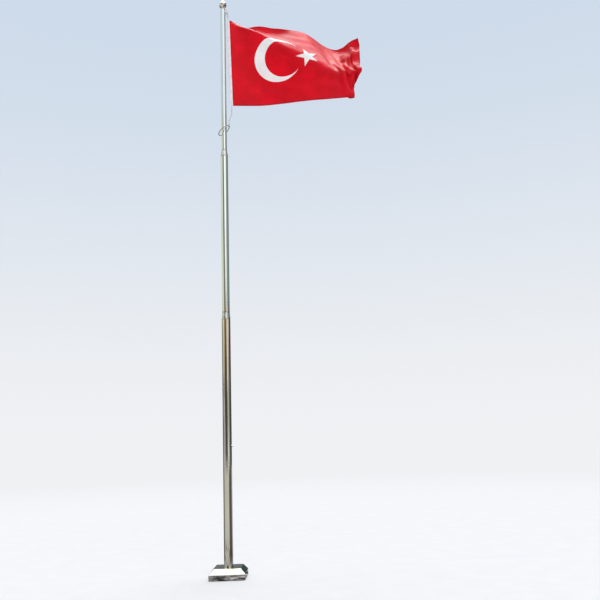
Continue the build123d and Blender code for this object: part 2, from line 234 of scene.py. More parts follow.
def finish_material(name, build):
    """New material whose shader sockets are what build(nodes) returns."""
    material = bpy.data.materials.new(name)
    material.use_nodes = True
    n = Nodes(material.node_tree)
    shader = n.add("ShaderNodeBsdfPrincipled")
    for socket, value in build(n).items():
        n.put(shader.inputs[socket], value)
    n.show(shader)
    return material


# ---------------------------------------------------------------- steel finishes
def polished_steel(name, colour, wave, rough):
    """Mirror-polished stainless sheet: slow waves, lengthwise polish, rain spots and film."""

    def build(n):
        place = n.place()
        slow = n.noise(n.stretch(place, (1, 1, 0.35)), 9.0, 2.0)
        ripple = n.noise(n.stretch(place, (1, 1, 0.22)), 34.0, 3.0)
        lines = n.noise(n.stretch(place, (420, 420, 6)), 1.0, 3.0)
        spots = n.between(n.noise(place, 210.0, 1.0), 0.66, 0.74)
        film = n.between(n.noise(n.stretch(place, (1, 1, 0.25)), 14.0, 4.0), 0.42, 0.7)
        height = n.plus(slow, n.times(ripple, 0.16))
        height = n.plus(height, n.times(lines, 0.004))
        roughness = n.between(lines, 0.2, 0.8, rough, rough * 2.0)
        roughness = n.plus(roughness, n.times(film, 0.03))
        roughness = n.plus(roughness, n.times(spots, 0.08))
        tone = n.mix(film, colour, tuple(0.93 * c for c in colour))
        tone = n.mix(n.times(spots, 0.15), tone, linear(188, 186, 178))
        return {
            "Base Color": tone,
            "Metallic": 1.0,
            "Roughness": roughness,
            "Normal": n.bump(height, wave),
        }

    return finish_material(name, build)


def joint_steel(name, colour, wave, rough, low, high):
    """Reducer's steel, with fine rings and the straw tint that welding leaves at both ends."""
    seam, reach, straw = 0.002, 0.014, linear(196, 170, 128)

    def build(n):
        place = n.place()
        wander = n.times(n.minus(n.noise(place, 60.0, 2.0), 0.5), 0.012)
        at = n.plus(n.split(place)[2], wander)
        ends = [n.between(n.off(at, end), seam, reach, 1, 0) for end in (low, high)]
        heat = n.math("MAXIMUM", *ends)
        slow = n.noise(n.stretch(place, (1, 1, 0.35)), 9.0, 2.0)
        rings = n.noise(n.stretch(place, (6, 6, 420)), 1.0, 3.0)
        height = n.plus(slow, n.times(rings, 0.01))
        height = n.plus(height, n.times(heat, 0.25))
        return {
            "Base Color": n.mix(n.times(heat, 0.55), colour, straw),
            "Metallic": 1.0,
            "Roughness": n.between(rings, 0.2, 0.8, rough, rough * 2.2),
            "Normal": n.bump(height, wave),
        }

    return finish_material(name, build)


def galvanised(name):
    """Hot-dip zinc: dull grey with pale crystal patches."""

    def build(n):
        place = n.place()
        cells = n.add("ShaderNodeTexVoronoi", Scale=70.0, Vector=place)
        patch = n.split(cells.outputs["Color"])[0]
        dirt = n.noise(place, 12.0, 5.0)
        tone = n.mix(patch, linear(140, 143, 146), linear(176, 178, 180))
        tone = n.mix(n.between(dirt, 0.5, 0.75, 0, 0.5), tone, linear(120, 112, 100))
        return {
            "Base Color": tone,
            "Metallic": 0.85,
            "Roughness": n.between(patch, 0, 1, 0.42, 0.62),
            "Normal": n.bump(n.noise(place, 160.0, 3.0), 0.0004),
        }

    return finish_material(name, build)


def turned_steel(name, colour, rough):
    """Small cast or turned fittings, bright where they rub."""

    def build(n):
        place = n.place()
        grain = n.noise(place, 900.0, 2.0)
        wear = n.noise(place, 120.0, 3.0)
        edge = n.between(n.pointiness(), 0.5, 0.56)
        tone = n.mix(n.between(wear, 0.45, 0.7), colour, tuple(0.72 * c for c in colour))
        tone = n.mix(edge, tone, linear(232, 230, 224))
        return {
            "Base Color": tone,
            "Metallic": 1.0,
            "Roughness": n.between(wear, 0.3, 0.7, rough, rough * 1.8),
            "Normal": n.bump(grain, 0.00006),
        }

    return finish_material(name, build)


def nylon(name):
    """Moulded sheave: natural nylon with a film of dust."""

    def build(n):
        place = n.place()
        dust = n.noise(place, 90.0, 4.0)
        tone = n.mix(n.between(dust, 0.45, 0.7), linear(232, 231, 226), linear(205, 201, 192))
        return {
            "Base Color": tone,
            "Roughness": n.between(dust, 0.3, 0.7, 0.34, 0.6),
            "Normal": n.bump(n.noise(place, 700.0, 2.0), 0.00005),
        }

    return finish_material(name, build)


# ---------------------------------------------------------------- soft finishes
def rope_yarn(name):
    """White polyester rope: fine yarns along each strand, and painted shade that greys the hollows
    between strands.
    """

    def build(n):
        place = n.place()
        # painted shade: the hollows between the strands are greyed towards a dark grey
        painted_hollow_shade = n.between(n.pointiness(), 0.44, 0.5, 1, 0)
        yarn = n.noise(n.stretch(place, (1800, 1800, 500)), 1.0, 3.0)
        soil = n.noise(place, 40.0, 4.0)
        tone = n.mix(n.between(soil, 0.4, 0.75), linear(236, 234, 228), linear(196, 192, 182))
        tone = n.mix(n.times(painted_hollow_shade, 0.5), tone, linear(120, 116, 108))
        return {
            "Base Color": tone,
            "Roughness": 0.75,
            "Sheen Weight": 0.3,
            "Normal": n.bump(yarn, 0.0002),
        }

    return finish_material(name, build)


def canvas(name):
    """White heading canvas: plain weave, lengthwise stitching, a little grime."""

    def build(n):
        along, across, _ = n.split(n.add("ShaderNodeUVMap").outputs[0])
        warp = n.math("SINE", n.times(across, tau / HEADING_WEAVE))
        weft = n.math("SINE", n.times(along, tau / HEADING_WEAVE))
        grime = n.noise(n.place(), 22.0, 5.0)
        tone = n.mix(n.between(grime, 0.42, 0.75), linear(250, 246, 247), linear(236, 220, 226))
        rows = n.math("PINGPONG", n.plus(across, 0.003), 0.011)
        dash = n.between(n.math("PINGPONG", along, HEADING_STITCH), 0.0005, 0.0009)
        stitch = n.times(n.between(rows, 0.0006, 0.0012, 1, 0), dash)
        tone = n.mix(n.times(stitch, 0.8), tone, linear(250, 250, 248))
        height = n.plus(n.times(n.times(warp, weft), 0.08), n.times(stitch, 0.8))
        height = n.plus(height, n.times(n.noise(n.place(), 45.0, 3.0), 1.2))
        return {
            "Base Color": tone,
            "Roughness": 0.82,
            "Sheen Weight": 0.2,
            "Normal": n.bump(height, 0.0011),
        }

    return finish_material(name, build)


def crescent_and_star(n, u, v):
    """Depth inside the figure, which stands on the flag's middle line, in shares of its height."""

    def from_middle(centre):
        across = n.minus(u, centre * CLOTH_HEIGHT)
        up = n.minus(v, CLOTH_HEIGHT / 2)
        reach = n.math("SQRT", n.plus(n.times(across, across), n.times(up, up)))
        return across, up, reach

    outer_centre, outer_radius = 0.5, 0.25
    inner_centre, inner_radius = 0.5625, 0.2
    star_centre, star_radius, points = 0.82083, 0.125, 5
    outer = n.minus(outer_radius * CLOTH_HEIGHT, from_middle(outer_centre)[2])
    inner = n.minus(inner_radius * CLOTH_HEIGHT, from_middle(inner_centre)[2])
    crescent = n.math("MINIMUM", outer, n.times(inner, -1.0))
    across, up, reach = from_middle(star_centre)
    turn = n.math("ARCTAN2", up, n.times(across, -1.0))
    from_point = n.math("PINGPONG", n.plus(turn, tau), pi / points)
    edge = n.times(reach, n.math("COSINE", n.minus(from_point, tau / points)))
    star = n.minus(star_radius * CLOTH_HEIGHT * cos(tau / points), edge)
    return n.math("MAXIMUM", crescent, star)


def bunting(name):
    """Red polyester with the white crescent and star, hems, stitches and weave.

    The UV map holds the place on the flat cloth in metres, from the foot of the hoist.
    """

    def build(n):
        uv = n.add("ShaderNodeUVMap").outputs[0]
        u, v, _ = n.split(uv)
        figure = crescent_and_star(n, u, v)
        white = n.between(figure, -0.0004, 0.0004)
        seam = n.between(n.off(figure, 0.003), 0.0008, 0.0016, 1, 0)

        # hems on the three free edges, two rows of stitches in each
        to_edge = n.math("MINIMUM", v, n.minus(CLOTH_HEIGHT, v))
        to_edge = n.math("MINIMUM", to_edge, n.minus(CLOTH_WIDTH, u))
        hem = n.between(to_edge, HEM - 0.0005, HEM + 0.0005, 1, 0)
        row = n.math("MINIMUM", *(n.off(to_edge, line) for line in HEM_ROWS))
        row = n.between(row, 0.0005, 0.001, 1, 0)
        dash = n.between(n.math("PINGPONG", n.plus(u, v), CLOTH_STITCH), 0.0004, 0.0008)
        stitch = n.times(n.math("MAXIMUM", row, seam), dash)

        warp = n.math("SINE", n.times(u, tau / CLOTH_WEAVE))
        weft = n.math("SINE", n.times(v, tau / CLOTH_WEAVE))
        slub = n.noise(n.stretch(uv, (60, 900, 1)), 1.0, 2.0)
        fade = n.between(n.noise(uv, 3.0, 3.0), 0.35, 0.7)
        red = n.mix(fade, linear(*RED_DEEP), linear(*RED_BRIGHT))
        red = n.mix(n.times(hem, 0.35), red, linear(*RED_HEM))
        pale = n.mix(fade, linear(242, 235, 235), linear(253, 250, 250))
        tone = n.mix(white, red, pale)
        tone = n.mix(n.times(stitch, n.minus(1.0, white)), tone, linear(*RED_THREAD))
        crush = n.noise(n.stretch(uv, (1.0, 1.6, 1)), 26.0, 3.0)
        height = n.times(n.times(warp, weft), 0.04)
        height = n.plus(height, n.times(slub, 0.05))
        height = n.plus(height, n.times(n.plus(hem, white), 0.5))
        height = n.plus(height, n.times(stitch, 0.4))
        height = n.plus(height, n.times(crush, 3.0))
        return {
            "Base Color": tone,
            "Roughness": n.between(slub, 0.3, 0.7, 0.40, 0.50),
            "Specular IOR Level": 0.14,
            "Subsurface Weight": 0.6,
            "Subsurface Radius": (1.0, 0.25, 0.2),
            "Subsurface Scale": 0.004,
            "Sheen Weight": 1.0,
            "Sheen Roughness": 0.25,
            "Sheen Tint": (1.0, 0.31, 0.30),
            "Normal": n.bump(height, 0.0009),
        }

    return finish_material(name, build)


# ---------------------------------------------------------------- mesh helpers
def new_piece(name, points, faces, material, uvs=None):
    """Mesh object from points and faces, smooth."""
    mesh = bpy.data.meshes.new(name)
    mesh.from_pydata([tuple(p) for p in points], [], [tuple(f) for f in faces])
    mesh.validate()
    mesh.polygons.foreach_set("use_smooth", [True] * len(mesh.polygons))
    if uvs is not None:
        layer = mesh.uv_layers.new(name="flat")
        at = np.zeros(len(mesh.loops), np.int32)
        mesh.loops.foreach_get("vertex_index", at)
        layer.data.foreach_set("uv", np.asarray(uvs, np.float32)[at].ravel())
    mesh.materials.append(material)
    piece = bpy.data.objects.new(name, mesh)
    bpy.context.scene.collection.objects.link(piece)
    return piece


def stand_for(node):
    """The piece takes a CAD node's place, and the node is hidden."""
    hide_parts(node)


def tube_faces(first, rows, sides, closed=False):
    """Quads between rows of points that start at an index; the last row meets the first if closed."""
    faces = []
    for row in range(rows if closed else rows - 1):
        a, b = first + row * sides, first + (row + 1) % rows * sides
        for s in range(sides):
            t = (s + 1) % sides
            faces.append((a + s, a + t, b + t, b + s))
    return faces


def end_faces(first, rows, sides):
    """Caps on the first and the last row of a tube."""
    last = first + (rows - 1) * sides
    return [
        tuple(first + s for s in reversed(range(sides))),
        tuple(last + s for s in range(sides)),
    ]


def ease(low, high, value):
    """0 up to low, 1 from high on, and a smooth step between."""
    t = np.clip((value - low) / (high - low), 0, 1)
    return t * t * (3 - 2 * t)


# ---------------------------------------------------------------- ropes
STRANDS = 3
STRAND_SIDES = 7


def evenly(path, step):
    """Points about step apart along a polyline of 3-D points, and their distances along it."""
    path = np.asarray(path, float)
    lengths = np.concatenate([[0], np.cumsum(np.linalg.norm(np.diff(path, axis=0), axis=1))])
    count = max(2, int(round(lengths[-1] / step)) + 1)
    at = np.linspace(0, lengths[-1], count)
    return np.stack([np.interp(at, lengths, path[:, k]) for k in range(3)], 1), at


def laid_rope(path, diameter=ROPE, start=0.0):
    """Points and faces of a rope of twisted strands along a path in a plane of constant Y.

    The strands' faces look inward.
    """
    line, at = evenly(path, ROPE_STEP)
    along = np.gradient(line, axis=0)
    along /= np.linalg.norm(along, axis=1, keepdims=True)
    side = np.tile([0.0, 1.0, 0.0], (len(line), 1))
    out = np.cross(side, along)
    strand = STRAND * diameter / ROPE
    centre = diameter / 2 - strand
    points, faces = [], []
    for k in range(STRANDS):
        turn = start + tau * (k / STRANDS + at / LAY)
        hub = line + centre * (np.cos(turn)[:, None] * side + np.sin(turn)[:, None] * out)
        first = len(points)
        for row in range(len(line)):
            for s in range(STRAND_SIDES):
                a = tau * s / STRAND_SIDES
                points.append(hub[row] + strand * (cos(a) * side[row] + sin(a) * out[row]))
        faces += tube_faces(first, len(line), STRAND_SIDES)
        faces += end_faces(first, len(line), STRAND_SIDES)
    return points, faces


def laid_eye(eye, radius):
    """Points and faces of a laid rope closed into an eye in a plane of constant X."""
    rows = 60
    centre = ROPE / 2 - STRAND
    turns = max(1, round(tau * radius / LAY))
    side = np.array((1.0, 0.0, 0.0))
    points, faces = [], []
    for k in range(STRANDS):
        first = len(points)
        for row in range(rows):
            a = tau * row / rows
            out = np.array((0.0, sin(a), cos(a)))
            twist = tau * k / STRANDS + turns * a
            hub = np.array(eye) + radius * out
            hub = hub + centre * (cos(twist) * out + sin(twist) * side)
            for s in range(STRAND_SIDES):
                b = tau * s / STRAND_SIDES
                points.append(hub + STRAND * (cos(b) * out + sin(b) * side))
        faces += tube_faces(first, rows, STRAND_SIDES, closed=True)
    return points, faces


def arc(centre, radius, start, end, steps):
    """Points on an arc in the X-Z plane, angles in degrees from +X towards +Z."""
    angles = np.radians(np.linspace(start, end, steps + 1))
    x = centre[0] + radius * np.cos(angles)
    z = centre[2] + radius * np.sin(angles)
    return [(a, centre[1], b) for a, b in zip(x, z)]


def make_halyard(yarn):
    """Plain inside the tube, laid from below the sheave to its far side."""
    laid_below, overlap, plain_sides, plain_radius = 0.06, 0.002, 8, 0.42 * ROPE
    hidden_top = sheave.z - laid_below
    over = [(inner_line, 0, hidden_top)] + arc(sheave, pitch_radius, 180, 0, 32)
    points, faces = laid_rope(over)
    first = len(points)
    for z in (halyard_low.z, hidden_top + overlap):
        for s in range(plain_sides):
            a = tau * s / plain_sides
            points.append((inner_line + plain_radius * cos(a), plain_radius * sin(a), z))
    faces += tube_faces(first, 2, plain_sides)
    faces += end_faces(first, 2, plain_sides)
    piece = new_piece("halyard_rope", points, faces, yarn)
    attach(piece, "mast")
    stand_for("halyard")
    return pi * pitch_radius + laid_below


def make_drop(yarn, run):
    """From the sheave to the flag; it pays out as the flag is lowered."""
    high, low = (outer_line, 0, drop_high.z), (outer_line, 0, drop_low.z)
    points, faces = laid_rope([high, low], start=tau * run / LAY)
    piece = new_piece("drop_rope", points, faces, yarn)
    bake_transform(piece)
    stand_for("halyard_drop")


def make_tail(yarn):
    """From the flag's foot to the retainer ring, in one slow bend."""
    top_x, foot_x = tail_high.x - ROPE / 2, tail_low.x + ROPE / 2
    straight = (tail_high.z - tail_low.z) / 5
    t = np.linspace(0, 1, 40)
    z = tail_high.z - straight - (tail_high.z - tail_low.z - 2 * straight) * t
    x = top_x + (foot_x - top_x) * ease(0, 1, t)
    bend = [(a, 0, b) for a, b in zip(x, z)]
    points, faces = laid_rope([(top_x, 0, tail_high.z), *bend, (foot_x, 0, tail_low.z)])
    piece = new_piece("tail_line", points, faces, yarn)
    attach(piece, "flag")
    stand_for("tail_rope")


def make_tab(node, way, yarn):
    """Rope tab with a spliced eye, up (way 1) or down (way -1) from the heading's end."""
    sewn_in, splice = 0.004, 0.016
    low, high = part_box(node)
    root, tip = (low.z, high.z) if way > 0 else (high.z, low.z)
    x = (low.x + high.x) / 2
    radius = (high.y - low.y) / 2 - ROPE / 2
    eye = Vector((x, 0, tip - way * (radius + ROPE / 2)))
    neck = [(x, 0, root - way * sewn_in), (x, 0, root + way * splice)]
    points, faces = laid_rope(neck, ROPE * TAB_SWELL)
    first = len(points)
    eye_points, eye_faces = laid_eye(eye, radius)
    points += eye_points
    faces += [tuple(first + i for i in face) for face in eye_faces]
    piece = new_piece(f"{node}_rope", points, faces, yarn)
    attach(piece, "flag")
    stand_for(node)


# ---------------------------------------------------------------- heading
def rope_edge(share):
    """Where the sleeve's rope side stands, from the foot (0) to the head (1)."""
    return heading_low.x + HEADING_RAKE * (1 - HEADING_TAPER / CLOTH_HEIGHT - share)


def seam_edge(share):
    """Where the sleeve ends and the cloth begins, from the foot (0) to the head (1)."""
    return heading_high.x + HEADING_RAKE * (HEADING_TAPER / CLOTH_HEIGHT - share)


def make_heading(material):
    """Canvas sleeve sewn round a rope: a round inner edge, flat towards the seam."""
    height = heading_high.z - heading_low.z
    rows, around = 240, 28
    points, uvs = [], []
    for row in range(rows + 1):
        f = row / rows
        z = heading_low.z + height * f
        inner, outer = rope_edge(f), seam_edge(f)
        for to_end, line in ((f, foot_line), (1 - f, outer_line)):
            taper = max(0.0, 1 - height * to_end / HEADING_TAPER)
            inner += (line - HEADING_TAB / 2 - inner) * taper
            outer += (line + HEADING_TAB / 2 - outer) * taper
        width = outer - inner
        core = min(SLEEVE_CORE, width / 2)
        pucker = 0.0007 * sin(tau * z / 0.021 + 3 * sin(z * 9)) + 0.0010 * sin(z * 31)
        for s in range(around):
            a = tau * s / around
            across = 0.5 - 0.5 * cos(a)
            bulge = core * np.exp(-((across * width - core) / (1.15 * core)) ** 2)
            flat = SLEEVE_FLAT + 0.0006 * sin(z * 47 + across * 5)
            thick = (bulge + flat * ease(0.0, 0.12, across)) * abs(sin(a)) ** 0.55
            y = (1 if sin(a) > 0 else -1) * thick + pucker * across
            points.append((inner + across * width, y, z))
            uvs.append((height * f, across * width))
    # the points run clockwise seen from above, so the faces are turned round to look outward
    faces = tube_faces(0, rows + 1, around) + end_faces(0, rows + 1, around)
    faces = [face[:1] + face[:0:-1] for face in faces]
    piece = new_piece("heading_canvas", points, faces, material, uvs)
    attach(piece, "flag")
    stand_for("flag_heading")
    return piece


# ---------------------------------------------------------------- the hoisted cloth
# The folds are told on the flat cloth: u metres from the seam, v metres from the foot, with
# turns in degrees. A front panel stands at the hoist and ends in a ridge, which falls from
# the head of the hoist towards the fly. Above the ridge the wind lays the cloth back, in two
# rolls with a crease between them. Waves run across the fly end, and its lower corner folds.
RIDGE_FALL = 0.64
RIDGE_LEVELS = (1.3, 1.8)
RIDGE_LEVELLING = 0.60
BELLY_LEAN = 12
ROLL_TURN = 20
ROLL_PITCH = 0.13
LAID_BACK = 72
CREASE_TURN = 20
CREASE_HALF = 0.015
OVERHANG_TURN = 50
OVERHANG_HEIGHT = 0.95
FOLD_WIDTH = 0.04
CORNER_START = 1.82
CORNER_SLANT = 0.65
CORNER_TURNS = (108, 70)
CORNER_LIFT = 0.42
CORNER_TOP = (0.04, 0.42)
FLY_TURN = 30
WAVE_TURN = 70
WAVE_START = 1.50
WAVE_PITCH = 0.2


def span(value, low, rise, fall, high):
    """0 up to low, 1 from rise to fall, 0 again from high on."""
    return ease(low, rise, value) * (1 - ease(fall, high, value))


def turned(v, line, width=FOLD_WIDTH):
    """0 below a fold line and 1 above it."""
    return ease(-1, 1, (v - line) / width)


def band(v, middle, half):
    """1 between two fold lines and 0 outside them."""
    return turned(v, middle - half) - turned(v, middle + half)


def ridge(u):
    """Where the front panel ends: it falls from the head of the hoist and levels out."""
    start, end = RIDGE_LEVELS
    t = np.clip((u - start) / (end - start), 0, 1)
    level = (end - start) * (t**3 - t**4 / 2) + np.maximum(0, u - end)
    return CLOTH_HEIGHT - RIDGE_FALL * u + RIDGE_LEVELLING * level


def belly(u, v):
    """Lean of the front panel: it swells forward, with small rolls near the fly."""
    lean = -BELLY_LEAN * ease(0.1, 0.6, u) * ease(0.1, 0.6, v)
    rolls = ROLL_TURN * ease(1.7, 2.05, u) * span(v, 0.36, 0.46, 0.78, 0.9)
    return np.radians(lean + rolls * np.sin(tau * (v - 0.1 * u) / ROLL_PITCH))


def lean_back(u, v):
    """Turn of the cloth above the ridge, about lines that run along the ridge."""
    back = LAID_BACK - 23 * ease(0.5, 1.05, u) + 6 * ease(1.15, 1.5, u) + 3 * ease(1.55, 1.9, u)
    width = 0.035 + 0.035 * ease(0.3, 1, u)
    turn = back * ease(0, 0.15, u) * turned(v, ridge(u), width)
    # the crease between the two rolls
    crease = 1.01 + 0.28 * ease(1.05, 1.6, u)
    turn = turn - CREASE_TURN * span(u, 0.95, 1.3, 1.6, 1.8) * band(v, crease, CREASE_HALF)
    # the dark overhang that opens near the fly
    half = 0.015 + 0.07 * ease(1.7, 1.9, u)
    turn = turn - OVERHANG_TURN * ease(1.65, 1.85, u) * band(v, OVERHANG_HEIGHT, half)
    # strips along the head that stand up again
    strip = 0.08 * span(u, 0.1, 0.6, 0.75, 1.05) + 0.11 * ease(1.55, 2.0, u)
    up = turned(v, CLOTH_HEIGHT - strip) * ease(0.01, 0.05, strip)
    return np.radians(turn - turn * up)


def wind_heading(u):
    """Way of the whole cloth in plan: to the front, then partly back again."""
    return np.radians(-10 * ease(0.35, 0.6, u) + 5 * ease(1.05, 1.3, u))


def corner_fold(u, v):
    """Share of the lower corner's fold at this height, and the distance past its line."""
    return 1 - ease(*CORNER_TOP, v), u - (CORNER_START - CORNER_SLANT * v)


def course(u, v):
    """Way the cloth runs in plan, from +X towards +Y."""
    way = np.degrees(wind_heading(u)) + 4 * (1 - ease(0.35, 0.55, u))
    way = way - FLY_TURN * ease(1.8, 2.0, u) * ease(*CORNER_TOP, v)
    corner, past = corner_fold(u, v)
    first, second = CORNER_TURNS
    way = way + corner * (first * ease(-0.04, 0.06, past) + second * ease(0.08, 0.2, past))
    late = u - 0.2 + 0.2 * ease(0.4, 0.8, v)
    waves = ease(1.25, 1.5, late) * (1 - corner) * (1 - 0.1 * ease(0.6, 0.9, v))
    return np.radians(way + waves * WAVE_TURN * np.sin(tau * (u - WAVE_START + 0.1 * v) / WAVE_PITCH))


def running_sum(steps, size, axis):
    """Sum of steps along an axis by trapezoids, starting from nothing."""
    steps = np.moveaxis(steps, axis, 0)
    middles = 0.5 * (steps[1:] + steps[:-1]) * size
    total = np.concatenate([np.zeros_like(steps[:1]), np.cumsum(middles, 0)])
    return np.moveaxis(total, 0, axis)


def folded(u, v):
    """Points of the cloth as the fold lines alone would place them."""
    step_u, step_v = u[0, 1], v[1, 0]
    slope = np.arctan(np.gradient(-ridge(u[0]), step_u))[None]
    sine, cosine = np.sin(slope), np.cos(slope)
    back, front = lean_back(u, v), belly(u, v)
    plan = wind_heading(u)
    x = -sine * cosine * (1 - np.cos(back))
    y = cosine * np.sin(back)
    z = sine**2 + cosine**2 * np.cos(back)
    y, z = y * np.cos(front) + z * np.sin(front), z * np.cos(front) - y * np.sin(front)
    x, y = x * np.cos(plan) - y * np.sin(plan), x * np.sin(plan) + y * np.cos(plan)
    way = course(u, v)
    x = running_sum(np.cos(way), step_u, 1) + running_sum(x, step_v, 0)
    y = running_sum(np.sin(way), step_u, 1) + running_sum(y, step_v, 0)
    corner, past = corner_fold(u, v)
    z = running_sum(z, step_v, 0) + CORNER_LIFT * corner * np.maximum(0, past)
    rake = HEADING_RAKE * (0.5 - v / CLOTH_HEIGHT) * (1 - ease(0, 0.65, u))
    return np.stack([seam_edge(0.5) + rake + x, y, heading_low.z + z], -1)


def smoothed(points):
    """Each point drawn to the middle of its neighbours, the free edges along themselves."""
    soft = points.copy()
    across = points[1:-1, :-2] + points[1:-1, 2:]
    down = points[:-2, 1:-1] + points[2:, 1:-1]
    soft[1:-1, 1:-1] = 0.5 * points[1:-1, 1:-1] + 0.125 * (across + down)
    for row in (0, -1):
        soft[row, 1:-1] = 0.5 * points[row, 1:-1] + 0.25 * (points[row, :-2] + points[row, 2:])
    soft[1:-1, -1] = 0.5 * points[1:-1, -1] + 0.25 * (points[:-2, -1] + points[2:, -1])
    return soft


def settle(start, step_u, step_v, rounds, hold):
    """Lets the cloth find its own length again: springs along threads and diagonals."""
    points = start.copy()
    every, head, tail = slice(None), slice(0, -1), slice(1, None)
    slant = float(np.hypot(step_u, step_v))
    slant_stiffness, speed, soft = 0.6, 1.8, 0.12
    springs = (
        ((every, head), (every, tail), step_u, 1.0),
        ((head, every), (tail, every), step_v, 1.0),
        ((head, head), (tail, tail), slant, slant_stiffness),
        ((head, tail), (tail, head), slant, slant_stiffness),
    )
    count = np.zeros(points.shape[:2] + (1,))
    for first, second, _, _ in springs:
        count[first] += 1
        count[second] += 1
    for turn in range(rounds):
        moves = np.zeros_like(points)
        for first, second, rest, stiffness in springs:
            gap = points[second] - points[first]
            length = np.linalg.norm(gap, axis=-1, keepdims=True)
            pull = 0.5 * stiffness * (length - rest) / np.maximum(length, 1e-9) * gap
            moves[first] += pull
            moves[second] -= pull
        points = points + speed * moves / count
        points = points + hold * (1 - turn / rounds) * (start - points)
        if turn % 2 == 0:
            points = (1 - soft) * points + soft * smoothed(points)
        points[:, 0] = start[:, 0]
    return points


def finer(points):
    """The same surface with twice as many cells each way."""
    for _ in range(2):
        before, after = 2 * points[:1] - points[1:2], 2 * points[-1:] - points[-2:-1]
        ends = np.concatenate([before, points, after])
        middles = (-ends[:-3] + 9 * ends[1:-2] + 9 * ends[2:-1] - ends[3:]) / 16
        full = np.zeros((2 * len(points) - 1,) + points.shape[1:])
        full[::2] = points
        full[1::2] = middles
        points = full.transpose(1, 0, 2)
    return points


def hang_cloth():
    """Cloth surface, settled on a coarse net first and then on finer ones."""
    cells_u, cells_v = 54, 36
    points = before = None
    for level, (rounds, hold) in enumerate(((300, 0.03), (120, 0.02), (60, 0.02))):
        places_u = np.linspace(0, CLOTH_WIDTH, cells_u * 2**level + 1)
        places_v = np.linspace(0, CLOTH_HEIGHT, cells_v * 2**level + 1)
        u, v = np.meshgrid(places_u, places_v)
        told = folded(u, v)
        start = told if points is None else finer(points) + told - finer(before)
        points = settle(start, u[0, 1], v[1, 0], rounds, hold)
        before = told
    return points, u, v


def normals(points):
    """Unit normals of a net of points, to the cloth's front."""
    along_u, along_v = np.gradient(points, axis=1), np.gradient(points, axis=0)
    normal = np.cross(along_u, along_v)
    return normal / np.linalg.norm(normal, axis=-1, keepdims=True)


def flutter(u, v):
    """Fine ripples that run out from the ridge to the fly, and soft wrinkles all over."""
    ripple = ease(1.35, 1.9, u) * ease(0.25, 0.5, v) * np.sin(tau * (v + 0.42 * u) / 0.052)
    ripple = ripple * (0.6 + 0.4 * np.sin(tau * (u - 0.7 * v) / 0.31))
    wrinkle = np.sin(tau * (v + 0.18 * u) / 0.19 + 2 * np.sin(tau * u / 0.8)) * ease(0.1, 0.5, u)
    return 0.0022 * ripple + 0.0015 * wrinkle


def make_cloth(material):
    """Closed sheet with two faces, thicker at the hems, which carries its flat places as UVs."""
    points, u, v = hang_cloth()
    points = points + flutter(u, v)[..., None] * normals(points)
    normal = normals(points)
    to_edge = np.minimum(np.minimum(v, CLOTH_HEIGHT - v), CLOTH_WIDTH - u)
    folded_over = 1 - ease(HEM - 0.004, HEM + 0.004, to_edge)
    half = (CLOTH_SHEET / 2 + (HEM_SHEET - CLOTH_SHEET) / 2 * folded_over)[..., None]
    front, back = points + half * normal, points - half * normal
    both = np.concatenate([front.reshape(-1, 3), back.reshape(-1, 3)])
    flat = np.stack([u, v], -1).reshape(-1, 2)
    other = u.size
    index = np.arange(other).reshape(u.shape)
    a, b, c, d = index[:-1, :-1], index[:-1, 1:], index[1:, 1:], index[1:, :-1]
    faces = [np.stack([a, b, c, d], -1).reshape(-1, 4)]
    faces.append(np.stack([d, c, b, a], -1).reshape(-1, 4) + other)
    rim = np.concatenate([index[0, :-1], index[:-1, -1], index[-1, :0:-1], index[:0:-1, 0]])
    onward = np.roll(rim, -1)
    faces.append(np.stack([rim, rim + other, onward + other, onward], -1))
    uvs = np.concatenate([flat, flat])
    piece = new_piece("flag_bunting", both, np.concatenate(faces).tolist(), material, uvs)
    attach(piece, "flag")
    stand_for("flag_cloth")
    return piece


# ---------------------------------------------------------------- finishes on the CAD pieces
TUBES = ("lower_tube", "middle_tube", "upper_tube", "finial_neck", "truck")
FOOT = ("base_flange", "gusset_front", "gusset_back", "gusset_left", "gusset_right")
FITTINGS = (
    "tube_screw",
    "lower_joint_screw",
    "upper_joint_screw",
    "halyard_stud",
    "halyard_block",
    "sheave_pin",
    "top_snap",
    "foot_snap",
    "ring_snap",
)


def dress(nodes, material):
    """Gives CAD nodes one material on all their faces."""
    for node in nodes:
        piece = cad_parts[node]
        piece.data.materials.clear()
        piece.data.materials.append(material)
        for face in piece.data.polygons:
            face.material_index = 0


def dress_frame():
    """Finishes of the steel pieces and the sheave, whose CAD shape is kept."""
    dress(TUBES, polished_steel("tube_steel", linear(226, 226, 220), 0.0006, 0.05))
    dress(["base_cover"], polished_steel("cover_steel", linear(222, 222, 216), 0.0032, 0.06))
    dress(["finial_ball"], polished_steel("ball_steel", linear(232, 232, 228), 0.0006, 0.09))
    joint = linear(206, 205, 198)
    for node in ("lower_reducer", "upper_reducer"):
        low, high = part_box(node)
        dress([node], joint_steel(f"{node}_steel", joint, 0.0006, 0.16, low.z, high.z))
    dress(FOOT, galvanised("zinc"))
    dress(FITTINGS, turned_steel("fitting_steel", linear(205, 204, 200), 0.24))
    dress(["retainer_ring"], turned_steel("ring_steel", linear(190, 188, 180), 0.30))
    dress(["sheave"], nylon("sheave_nylon"))


